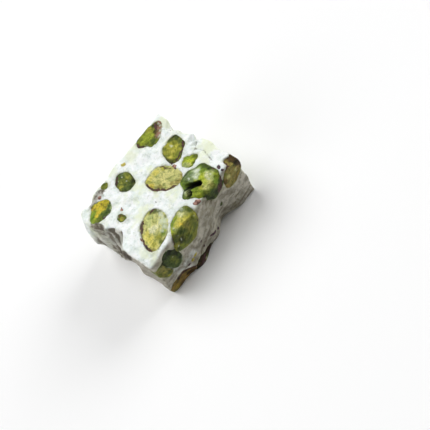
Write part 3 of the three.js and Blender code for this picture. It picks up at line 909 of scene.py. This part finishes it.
            (0.05, -0.65, 0.9)], khaki=[(0.1, -0.05, 0.6)], deep=[(0.15, 0.15, 0.6)]),
        skin=[((-0.1, -0.65), (-0.5, 0.05), 1.2)],
        film=[(0.05, -0.45, 0.7), (0, 0, 0.5)]),
    "pistachio_edge_back": dict(
        base="olive", rim=("moss", 0.3),
        dabs=painted(
            olive=[(0.3, 0.1, 1.2)], moss=[(-0.3, 0.3, 1.0)], pale=[(0.3, 0.7, 0.8)],
            umber=[(-0.2, -0.7, 1.0)]),
        film=[(0.1, 0.8, 0.6)]),
}
HIDDEN_TONES = (
    ("straw", "yellow", "haze", "olive"),
    ("olive", "yellow", "green", "deep"),
    ("green", "leaf", "lime", "moss"),
    ("drab", "khaki", "olive", "deep"),
    ("moss", "deep", "leaf", "dark"),
)


def hidden_look(number):
    """A look, from the same range, for a kernel that has none of its own."""
    chance = np.random.default_rng(100 + number)
    tones = HIDDEN_TONES[number % len(HIDDEN_TONES)]
    start = chance.uniform(0, 2 * math.pi)
    arc = [(math.cos(start + turn), math.sin(start + turn)) for turn in (0.0, 0.7, 1.4, 2.1)]
    dabs = [(tones[i % 4], *chance.uniform(-0.8, 0.8, 2), chance.uniform(0.8, 1.6)) for i in range(9)]
    return dict(
        base=tones[0],
        rim=("dark", 0.4),
        dabs=dabs + [("deep", *(-0.8 * np.array(arc[1])), 1.3)],
        skin=[(arc[0], arc[1], 0.7), (arc[1], arc[2], 1.1), (arc[2], arc[3], 0.6)],
        film=[(*chance.uniform(-0.9, 0.9, 2), chance.uniform(0.5, 1.3)) for _ in range(3)],
    )


def line_distance(flat, start, end):
    along = end - start
    share = np.clip((flat - start) @ along / max(along @ along, 1e-9), 0, 1)
    return np.linalg.norm(flat - start - share[:, None] * along, axis=-1)


def kernel_masks(name, number, local, inset, below):
    """The kernel's painted tone, and where it has film or skin."""
    look = LOOKS.get(name) or hidden_look(number)
    half = kernel_halves(KERNELS[name])[:2]
    ragged = np.stack([rough(local, 1.3, number), rough(local, 1.3, number + 40)], axis=-1)
    flat = local[:, :2] + 0.6 * ragged

    tone = np.tile(0.08 * np.array(TONES[look["base"]][:3]), (len(local), 1))
    total = np.full(len(local), 0.08)
    for dab, side, along, radius in look["dabs"]:
        distance = np.linalg.norm(flat - np.array((side, along)) * half, axis=-1)
        weight = np.exp(-1.4 * (distance / radius) ** 2)
        tone += weight[:, None] * np.array(TONES[dab][:3])
        total += weight
    tone /= total[:, None]

    rim_tone, rim_width = look["rim"]
    whole = KERNELS[name].get("whole") or KERNELS[name].get("coated")
    from_rim = inset + 0.5 * rough(local, 1.4, number + 7)
    rim = (0.5 if whole else 0.85) * (1 - ramp(from_rim, 0.0, 1.4 * rim_width))
    parts = lumps(local, 4, number + 9)
    rim = rim * ramp(parts, -0.45, 0.6)
    rim = np.maximum(rim, 0.7 * (ramp(below, 0.2, 0.3) if whole else ramp(below, 0.02, 0.2)))
    tone += (np.array(TONES[rim_tone][:3]) - tone) * rim[:, None]

    film = (0.15 if whole else 0.7) * (1 - ramp(inset, 0.0, 1.1)) * ramp(-parts, -0.1, 0.5)
    for side, along, radius in look.get("film", ()):
        distance = np.linalg.norm(flat - np.array((side, along)) * half, axis=-1)
        film = np.maximum(film, 1 - ramp(distance, 0, 1.6 * radius))
    skin = np.zeros(len(local))
    for start, end, width in look.get("skin", ()):
        distance = line_distance(flat, np.array(start) * half, np.array(end) * half)
        skin = np.maximum(skin, 1 - ramp(distance, 0, width))
    tone = np.concatenate([tone, np.ones((len(local), 1))], axis=1)
    return dict(local=local, tone=tone, film=film, skin=skin)


CLEFT = dict(
    path=((9.0, -14.2), (6.8, -12.4), (5.6, -11.4), (3.8, -14.3)),
    widths=(1.9, 2.4, 1.3),
    depth=3.0,
    above=18.6,
)


def open_cleft(points, world, masks):
    """Sinks the bent cleft between the split kernel's halves."""
    spots = [np.array(spot) for spot in CLEFT["path"]]
    flat = points[:, :2] + 0.25 * np.stack([rough(points, 1.5, 5), rough(points, 1.5, 6)], axis=-1)
    away = np.full(len(points), 9.0)
    for start, end, width in zip(spots, spots[1:], CLEFT["widths"]):
        away = np.minimum(away, line_distance(flat, start, end) / (width / 2))
    sink = (1 - ramp(away, 0.7, 0.5)) * ramp(points[:, 2], CLEFT["above"], 1.0)
    shade = (1 - ramp(away, 1.05, 0.35)) * ramp(points[:, 2], CLEFT["above"], 1.0)
    masks["tone"][:, :3] += (np.array(TONES["black"][:3]) - masks["tone"][:, :3]) * shade[:, None]
    masks["film"] = masks["film"] * (1 - shade)
    return points - world * (CLEFT["depth"] * sink)[:, None]


# ---- nougat --------------------------------------------------------------------------


def away_from(points, spot):
    return np.linalg.norm(points - np.array(spot), axis=-1)


def soften(plain, radius):
    """Rounds the plain block's edges, and gives the way that each point faces."""
    core = np.clip(plain, -HALF + radius[:, None], HALF - radius[:, None])
    away = plain - core
    facing = unit(away)
    return core + facing * radius[:, None], facing


BACK_CORNER = (-24, 16.5, 24)
# The worn corners are rounded more, and the walls beside them are painted lighter: painted light.
WORN_AND_LIT_CORNERS = ((22.6, 13.6, 23.0), (22.0, 2.0, 23.0))  # on the right edge, beside the notch
WORN_KERNELS = ("pistachio_top_split", "pistachio_edge_front")  # the edge is worn around them
CRACK = dict(ahead=(1.4, 3.2, 5.8, 9.1, 12.3), x=(21.7, 19.4, 20.3, 19.8, 18.8), depth=0.35)
# places and sizes of cream-coloured nougat
CREAM_SPOTS = (
    ((-21.5, 17.2, 20), 4.5),
    ((22.6, -5.5, 23), 4.0),
    ((17.4, -9.7, 24), 2.0),
    ((-2.9, 19.0, 23), 4),
    ((4.6, 16.2, 24), 3.2),
)
# brown patches on the left side, partly the nougat's own brown and partly painted shade, darkest as painted
# shadow in the hollow: places, reaches along the three axes, and strengths
BROWN_AND_SHADE_PATCHES = (
    ((-21.2, -3.2, 21.5), (2.5, 2.4, 4.5), 1.15),
    ((-24.2, -6.0, 19.0), (2.2, 3.6, 5.0), 1.6),
    ((-23.8, 6.5, 5.0), (2.6, 5.6, 9.0), 0.85),
    ((-23.6, 3.6, 5.8), (2.6, 4.2, 5.0), 1.7),
    ((-23.0, 8.0, 21.0), (2, 2.6, 3.4), 0.75),
)
# brown lines that run from one place to another, with their widths and strengths; the last one is a painted
# shadow under the split kernel
BROWN_AND_SHADOW_LINES = (
    ((-22.9, 10.4, 24.0), (-22.6, 7.4, 23.8), 2.6, 1.1),
    ((-17.6, 16.8, 24.0), (-11.4, 17.1, 24.0), 2.6, 0.95),
    ((4.8, -18.6, 22.2), (7.5, -18.0, 18.0), 1.7, 0.9),
)
# Painted light on the lump at the left corner, where the sides' darker tone is lifted; on the spots on the
# front it is lifted partly.
LIT_LUMP = dict(at=(-24.5, 15.5, 20), reach=(4, 4, 7))
PALE_FRONT_SPOTS = ((-18.4, -19, 9.5), (-17.3, -19, 6), (-13.3, -19, 8), (-10.1, -19, 8.7), (-13.8, -19, 4.2))


def edge_radius(plain, rough_points):
    """How far the block's edges are rounded, more where they are worn."""
    radius = 0.75 + 0.35 * lumps(plain, 6, 3)
    radius = np.where(plain[:, 2] < 0, 0.5, radius)
    upper = plain[:, 2] > 0
    for number, (name, kernel) in enumerate(KERNELS.items()):
        if name in WORN_KERNELS:
            radius += 1.8 * (1 - ramp(kernel_gap(kernel, number, rough_points), 0.0, 3.0)) * upper
    radius += 1.0 * (1 - ramp(away_from(rough_points, BACK_CORNER), 2.5, 6)) * upper
    for spot in WORN_AND_LIT_CORNERS:
        radius += 1.2 * (1 - ramp(away_from(rough_points, spot), 1.2, 3.5)) * upper
    return radius


def kernels_gap(points):
    """How far the points are from the nearest kernel's surface."""
    gap = np.full(len(points), 9.0)
    for number, kernel in enumerate(KERNELS.values()):
        close = away_from(points, kernel["at"]) < kernel["size"][0] / 2 + 4
        beside = kernel_gap(kernel, number, points[close])
        if kernel.get("coated"):
            x, y, z = points[close].T
            cover = np.minimum(ramp(z, 22.9, 0.6), 1 - 0.74 * ramp(x, 18.4, 0.8))
            beside = beside + 4 * cover * ramp(y, -18.0, 0.6)
        gap[close] = np.minimum(gap[close], beside)
    return gap


def crack_share(points, top):
    """Where the crack beside the flap runs."""
    ahead = -points[:, 1]
    crack_x = np.interp(ahead, CRACK["ahead"], CRACK["x"])
    crack = 1 - ramp(np.abs(points[:, 0] - crack_x - 0.4 * lumps(points, 1.5, 14)), 0.1, 0.4)
    return crack * ramp(ahead, 1.0, 1.0) * (1 - ramp(ahead, 11.5, 1.5)) * top


def cream_share(points):
    cream = np.zeros(len(points))
    for spot, size in CREAM_SPOTS:
        away = away_from(points, spot) + 1.2 * lumps(points, 2, 15)
        cream = np.maximum(cream, 1 - ramp(away, size * 0.4, size * 0.6))
    return cream


def brown_share(points, left, groove, crack):
    """How brown the nougat is: along the crack, in its brown patches, partly painted shade, and along its
    brown lines, one of them a painted shadow.
    """
    brown = 0.8 * crack
    for spot, reach, strength in BROWN_AND_SHADE_PATCHES:
        away = np.linalg.norm((points - np.array(spot)) / reach, axis=-1)
        brown_patch = left * (1 - ramp(away + 0.25 * lumps(points, 1.5, 20), 0.45, 0.8))
        brown = np.maximum(brown, brown_patch * (strength + 0.5 * groove))
    for start, end, width, strength in BROWN_AND_SHADOW_LINES:
        away = line_distance(points, np.array(start), np.array(end)) + 0.5 * lumps(points, 1.5, 21)
        brown = np.maximum(brown, strength * (1 - ramp(away, 0.2 * width, 0.9 * width)))
    return brown


def bright_share(points):
    """Where the sides' darker tone is lifted: painted light on the lump at the left corner and by the worn
    corners, and paler spots on the front.
    """
    away = np.linalg.norm((points - np.array(LIT_LUMP["at"])) / LIT_LUMP["reach"], axis=-1)
    bright = 1 - ramp(away, 0.6, 0.6)
    for spot in PALE_FRONT_SPOTS:
        away = away_from(points, spot) + 0.5 * lumps(points, 1.5, 22)
        bright = np.maximum(bright, 0.6 * (1 - ramp(away, 0.6, 1.8)))
    for spot in WORN_AND_LIT_CORNERS:
        bright = np.maximum(bright, 1 - ramp(away_from(points, spot), 3.0, 2.5))
    return bright


def build_nougat(material):
    counts = np.round(2 * HALF / NOUGAT_CELL).astype(int)
    corners, quads = box_grid(counts)
    plain = corners / counts * 2 * HALF - HALF
    soft, facing = soften(plain, edge_radius(plain, place(plain + (0, 0, HALF[2]))))
    points = place(soft + (0, 0, HALF[2]))

    faced = [np.clip(sign * facing[:, axis], 0, 1) ** 2 for axis, sign, _, _ in SIDES.values()]
    top, under, front, back, left, right = faced
    gap = kernels_gap(points)
    torn_and_shade = left * ramp(points[:, 1], -11, 4) * (1 - ramp(points[:, 1], 12, 6)) * ramp(points[:, 2], -6, 10)

    push = top * (0.28 * rough(points, 4.5, 1) + 0.12 * rough(points, 1.3, 2))
    streaks = points @ np.array([[0.94, 0, 0.34], [0, 1, 0], [-0.34, 0, 0.94]]).T
    streak = rough(streaks, (7, 3, 1.1), 4)
    push += front * (0.2 * streak + 0.12 * rough(points, 3.5, 5))
    push += (back + right) * (0.14 * rough(points, (6, 6, 1.4), 6) + 0.14 * rough(points, 3.8, 7))
    wavy = points + 0.5 * lumps(points, 5, 16)[:, None] * (0, 1, 0)
    strands = 0.8 - 2.6 * np.abs(lumps(wavy, (6, 2.2, 12), 8)) + 0.6 * lumps(wavy, (4, 0.9, 6), 18)
    clods = lumps(points, 3.2, 19) * ramp(points[:, 1], 9, 4)
    push += left * (0.25 * rough(points, 2.2, 9) + 0.2 * rough(points, (6, 1.2, 5), 10) + 0.5 * clods)
    push += torn_and_shade * 0.8 * strands
    push = push * ramp(gap, 0.0, 1.4)
    ragged = gap + 0.3 * rough(points, 1.9, 13)
    lip = 1 - ramp(np.abs(gap - 0.45), 0, 0.8)
    push += lip * (0.08 + 0.16 * lumps(points, 2.2, 12))
    push -= 0.9 * (1 - ramp(ragged, -0.4, 0.5)) + 4 * (1 - ramp(gap, -3.2, 1.2))
    push = push * (1 - under)

    crack = crack_share(points, top)
    push -= CRACK["depth"] * crack

    points = points + facing * push[:, None]
    points[:, 2] = np.maximum(points[:, 2], 0)

    groove = torn_and_shade * ramp(-strands, -0.45, 0.7)
    bright = bright_share(points)
    # Painted shade, partly the nougat's own colour: the sides take a darker tone, most on the front and
    # left, and on the left more towards the front.
    left_shade_to_front = 0.95 - 0.3 * ramp(points[:, 1], -4, 5)
    side = (front + left * left_shade_to_front + 0.3 * back + 0.1 * right) * (1 - bright)
    # Painted shade: the grooves between the strands, the left side's strip towards the front, and streaks
    # low on the front.
    groove_shade = (0.2 * torn_and_shade + 0.8 * groove) * (1 - 0.7 * bright)
    strip = 0.6 * left * (1 - ramp(points[:, 1], -9, 4))
    shaded = 0.75 * front * ramp(-streak, -0.1, 0.5) * (1 - ramp(points[:, 2], 5, 13))
    masks = dict(
        near=1 - ramp(gap, 0.15, 0.9),
        socket=1 - ramp(ragged, -0.35, 0.4),
        torn_and_shade=np.maximum(groove_shade, np.maximum(strip, shaded)),
        brown=brown_share(points, left, groove, crack),
        cream=cream_share(points),
        side=side,
    )
    piece = make_piece("nougat_body", points, quads.tolist(), masks, material)
    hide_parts("nougat")
    return piece


# ---- specks --------------------------------------------------------------------------


def speck_form(around=12, rings=8):
    """A unit ball's points and faces."""
    points = [(0.0, 0.0, 1.0)]
    for ring in range(1, rings):
        tilt = math.pi * ring / rings
        for i in range(around):
            turn = 2 * math.pi * i / around
            flat = math.sin(tilt)
            points.append((flat * math.cos(turn), flat * math.sin(turn), math.cos(tilt)))
    points.append((0.0, 0.0, -1.0))
    return np.array(points), ring_faces(around, rings - 1)


def face_spot(face, a, b):
    """A place on one of the chunk's faces and its directions: across, up and out."""
    axis, sign, first, second = SIDES[face]
    step = 0.3

    def at(da, db):
        point = np.zeros(3)
        point[first], point[second] = a + da, b + db
        point[axis] = level(face, np.array(a + da), np.array(b + db))
        return point

    across = unit(at(step, 0) - at(-step, 0))
    up = unit(at(0, step) - at(0, -step))
    out = unit(np.cross(across, up))
    if out[axis] * sign < 0:
        out = -out
    up = np.cross(out, across)
    return at(0, 0), np.array([across, up, out])


def build_specks(name, spots, material, seed):
    """Crumbs or flakes half sunk in the faces: face, place, length, width, thickness, heading."""
    ball, ball_faces = speck_form()
    chance = np.random.default_rng(seed)
    points, faces = [], []
    for n, (face, a, b, length, width, thick, heading) in enumerate(spots):
        middle, axes = face_spot(face, a, b)
        turn = math.radians(heading)
        along = axes[0] * math.cos(turn) + axes[1] * math.sin(turn)
        side = np.cross(axes[2], along)
        form = ball * (1 + 0.45 * lumps(ball * 3 + 10 * chance.random(3), 1.9, seed)[:, None])
        shift = sum(len(part) for part in points)
        local = form * (length / 2, width / 2, thick / 2)
        bend = 0.25 * thick * (local[:, 0] / (length / 2)) ** 2
        height = local[:, 2] - bend - 0.1 * thick
        speck = middle + local[:, :1] * along + local[:, 1:2] * side + height[:, None] * axes[2]
        speck[:, 2] = np.maximum(speck[:, 2], 0)
        points.append(speck)
        faces.extend(tuple(k + shift for k in f) for f in ball_faces)
    return make_piece(name, np.concatenate(points), faces, {}, material)


def room_beside(face, spot):
    """How far a place on one face is from the nearest of the other faces."""
    room = 99.0
    for other, (axis, sign, first, second) in SIDES.items():
        if other != face:
            room = min(room, sign * (level(other, spot[first], spot[second]) - spot[axis]))
    return room


def scattered(faces, count, seed, length, width, thick):
    """Random specks on the given faces, clear of the kernels."""
    chance = np.random.default_rng(seed)
    spots = []
    while len(spots) < count:
        face = faces[len(spots) % len(faces)]
        axis, sign, first, second = SIDES[face]
        a = (2 * chance.random() - 1) * (HALF[first] - 2)
        b = (2 * chance.random() - 1) * (HALF[second] - 2) + (HALF[2] if second == 2 else 0)
        sizes = [low + (high - low) * chance.random() ** 2 for low, high in (length, width, thick)]
        heading = chance.random() * 180
        spot = face_spot(face, a, b)[0]
        gap = min(kernel_gap(kernel, number, spot) for number, kernel in enumerate(KERNELS.values()))
        if gap > 0.6 + sizes[0] / 2 and room_beside(face, spot) > 1.2 + sizes[0] / 2:
            spots.append((face, a, b, *sizes, heading))
    return spots


GREEN_SPECKS = [
    ("front", 10.2, 9.7, 2.2, 1.1, 0.9, 40),
    ("front", 7.8, 9.3, 0.8, 0.6, 0.5, 0),
    ("top", -4.3, -4.4, 0.5, 0.45, 0.4, 0),
]
YELLOW_SPECKS = [
    ("top", 0.9, 16.9, 2.7, 2.1, 0.9, 30),
    ("front", -9.6, 7.3, 2.2, 1.1, 0.8, 10),
    ("front", -11.5, 6.7, 1.9, 1.3, 0.8, 60),
]
SKIN_SPECKS = [
    ("front", 0.9, 4.5, 3.5, 1.4, 0.8, -27),
    ("front", 3.6, 2.6, 1.6, 1.2, 0.8, -30),
    ("front", -4.8, 8.9, 1.3, 0.9, 0.9, 0),
    ("front", -4.8, 4.6, 1.3, 0.8, 0.7, 60),
    ("front", -13.6, 6.2, 1.6, 0.6, 0.4, 20),
    ("top", 17.7, -15.9, 2.1, 1.3, 0.5, 45),
    ("top", 17.4, -17.9, 1.2, 0.9, 0.5, 100),
    ("top", 10.3, 0.4, 1.0, 0.7, 0.4, -70),
    ("top", 9.4, -2.2, 0.9, 0.8, 0.4, -40),
    ("top", -18.9, -12.4, 3.6, 0.7, 0.5, 80),
]
ROSE_SPECKS = [
    ("top", 10.0, -0.9, 2.4, 1.6, 0.7, -70),
    ("top", 2.9, -17.7, 3.1, 2.0, 0.8, -30),
    ("top", -13.0, 5.1, 2.1, 1.1, 0.4, 45),
    ("top", -14.0, 15.6, 1.9, 1.4, 0.5, 10),
    ("top", -18.0, -9.2, 2.0, 0.6, 0.5, 70),
    ("top", -15.6, 1.9, 1.0, 0.4, 0.3, 120),
]

HIDDEN_FACES = ("back", "right", "under")
SPECKS = (
    dict(
        name="green", shown=GREEN_SPECKS, hidden=24, slot="pistachio",
        tones=((92, 104, 46), (66, 78, 36)),
        length=(0.5, 2.2), width=(0.4, 1.2), thick=(0.3, 0.7)),
    dict(
        name="yellow", shown=YELLOW_SPECKS, hidden=12, slot="pistachio",
        tones=((204, 190, 92), (164, 154, 66)),
        length=(0.5, 1.8), width=(0.4, 1.0), thick=(0.3, 0.7)),
    dict(
        name="skin", shown=SKIN_SPECKS, hidden=24, slot="pistachio_skin",
        tones=((96, 66, 74), (48, 32, 38)),
        length=(0.5, 2.6), width=(0.3, 0.9), thick=(0.25, 0.4)),
    dict(
        name="rose", shown=ROSE_SPECKS, hidden=8, slot="pistachio_skin",
        tones=((176, 134, 116), (100, 66, 56)),
        length=(0.6, 1.8), width=(0.4, 0.9), thick=(0.3, 0.5)),
)

# ---- making everything ---------------------------------------------------------------

nougat_look = nougat_material()
build_nougat(nougat_look)

kernel_look = kernel_material()
faces_of_rings = ring_faces(AROUND, ON_CUT + BELOW - 1, turned=True)
for number, name in enumerate(KERNELS):
    points, local, world, inset, below = kernel_form(name, number)
    masks = kernel_masks(name, number, local, inset, below)
    if name == "pistachio_top_split":
        points = open_cleft(points, world, masks)
    piece = make_piece(name + "_kernel", points, faces_of_rings, masks, kernel_look)
    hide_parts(name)

for number, specks in enumerate(SPECKS, 1):
    look = speck_material("speck_" + specks["name"], *specks["tones"])
    sizes = specks["length"], specks["width"], specks["thick"]
    spots = specks["shown"] + scattered(HIDDEN_FACES, specks["hidden"], 20 + number, *sizes)
    build_specks("specks_" + specks["name"], spots, look, number)

# ---- floor, light and camera ---------------------------------------------------------

FLOOR_SIZE = 6.0
bpy.ops.mesh.primitive_plane_add(size=FLOOR_SIZE, location=(0, 0, 0))
floor = bpy.context.object
floor.name = "floor"
floor_shader = Shader("floor_paper")
paper = floor_shader.noise(floor_shader.place_mm(), 300, 2)
clouds = floor_shader.step(paper, 0.3, 0.7)
paper_tone = floor_shader.mix(clouds, (0.95, 0.95, 0.95, 1), (0.97, 0.97, 0.97, 1))
floor_look = floor_shader.finish(Base_Color=paper_tone, Roughness=0.9, Specular_IOR_Level=0.1)
floor.data.materials.append(floor_look)

world = bpy.data.worlds.new("studio")
bpy.context.scene.world = world
world.use_nodes = True
background = world.node_tree.nodes["Background"]
background.inputs["Color"].default_value = (1.0, 1.0, 1.0, 1)
background.inputs["Strength"].default_value = 0.13


def pose(right, up, back, at):
    """The matrix of a thing at a place, from its three directions."""
    rows = [tuple(map(float, row)) for row in zip(right, up, back, at)]
    return Matrix([*rows, (0, 0, 0, 1)])


def soft_lamp(name, direction, distance, size, power):
    """A round lamp that faces the object from the given direction and distance."""
    lamp = bpy.data.lights.new(name, "AREA")
    lamp.shape = "DISK"
    lamp.size = size
    lamp.energy = power
    holder = bpy.data.objects.new(name, lamp)
    bpy.context.scene.collection.objects.link(holder)
    back = unit(direction)
    right = unit(np.cross((0.0, 0.3, 1.0), back))
    holder.matrix_world = pose(right, np.cross(back, right), back, back * distance)


soft_lamp("key", (-0.15, 0.62, 1.0), 2.6, 2.4, 56.0)
soft_lamp("left", (-1.0, 0.12, 0.5), 2.6, 1.6, 15.0)
soft_lamp("right", (1.0, 0.0, 0.5), 2.6, 1.6, 38.0)

CAMERA_AT = (-44.71, -162.44, 247.85)
CAMERA_RIGHT = (0.5998, -0.7345, -0.3175)
CAMERA_UP = (0.7794, 0.4466, 0.4393)
CAMERA_BACK = (-0.1809, -0.5110, 0.8404)
FOCAL_LENGTH = 67.16
SENSOR = 36.0

camera_data = bpy.data.cameras.new("camera")
camera_data.lens = FOCAL_LENGTH
camera_data.sensor_width = SENSOR
camera_data.clip_start = 0.01
camera = bpy.data.objects.new("camera", camera_data)
bpy.context.scene.collection.objects.link(camera)
camera.matrix_world = pose(CAMERA_RIGHT, CAMERA_UP, CAMERA_BACK, np.array(CAMERA_AT) * MM)
bpy.context.scene.camera = camera
bpy.context.scene.view_settings.view_transform = "Standard"
